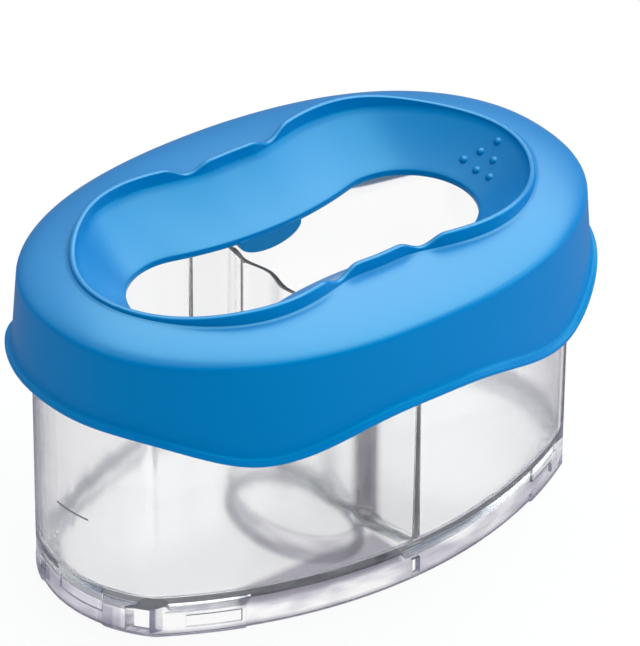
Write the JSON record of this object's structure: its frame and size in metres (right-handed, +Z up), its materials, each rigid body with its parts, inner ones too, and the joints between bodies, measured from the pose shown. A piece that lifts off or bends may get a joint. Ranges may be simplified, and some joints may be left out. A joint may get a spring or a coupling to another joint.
{
  "type": "brush washer",
  "caption": "Oval brush washer: a clear plastic water tank with a wavy divider, under a blue lift-off lid with a waisted funnel, scalloped skirt and brush rests.",
  "frame": {"origin": "centre of the footprint on the table, under the middle of the tank", "axes": "+Z up; +X along the washer's longest side, towards the end of the funnel with the six nubs; +Y towards the back"},
  "size_m": [0.1296, 0.09, 0.0735],
  "materials": {
    "clear_plastic": "clear moulded plastic, polished",
    "blue_plastic": "opaque blue moulded plastic, satin gloss"
  },
  "bodies": {
    "tank": {"tank": "clear_plastic", "divider": "clear_plastic"},
    "lid": {"lid": "blue_plastic"}
  },
  "joints": [
    {"name": "lid_lift", "type": "slide", "parent": "tank", "child": "lid", "axis": [0, 0, 1], "range_m": [0, 0.04]}
  ]
}
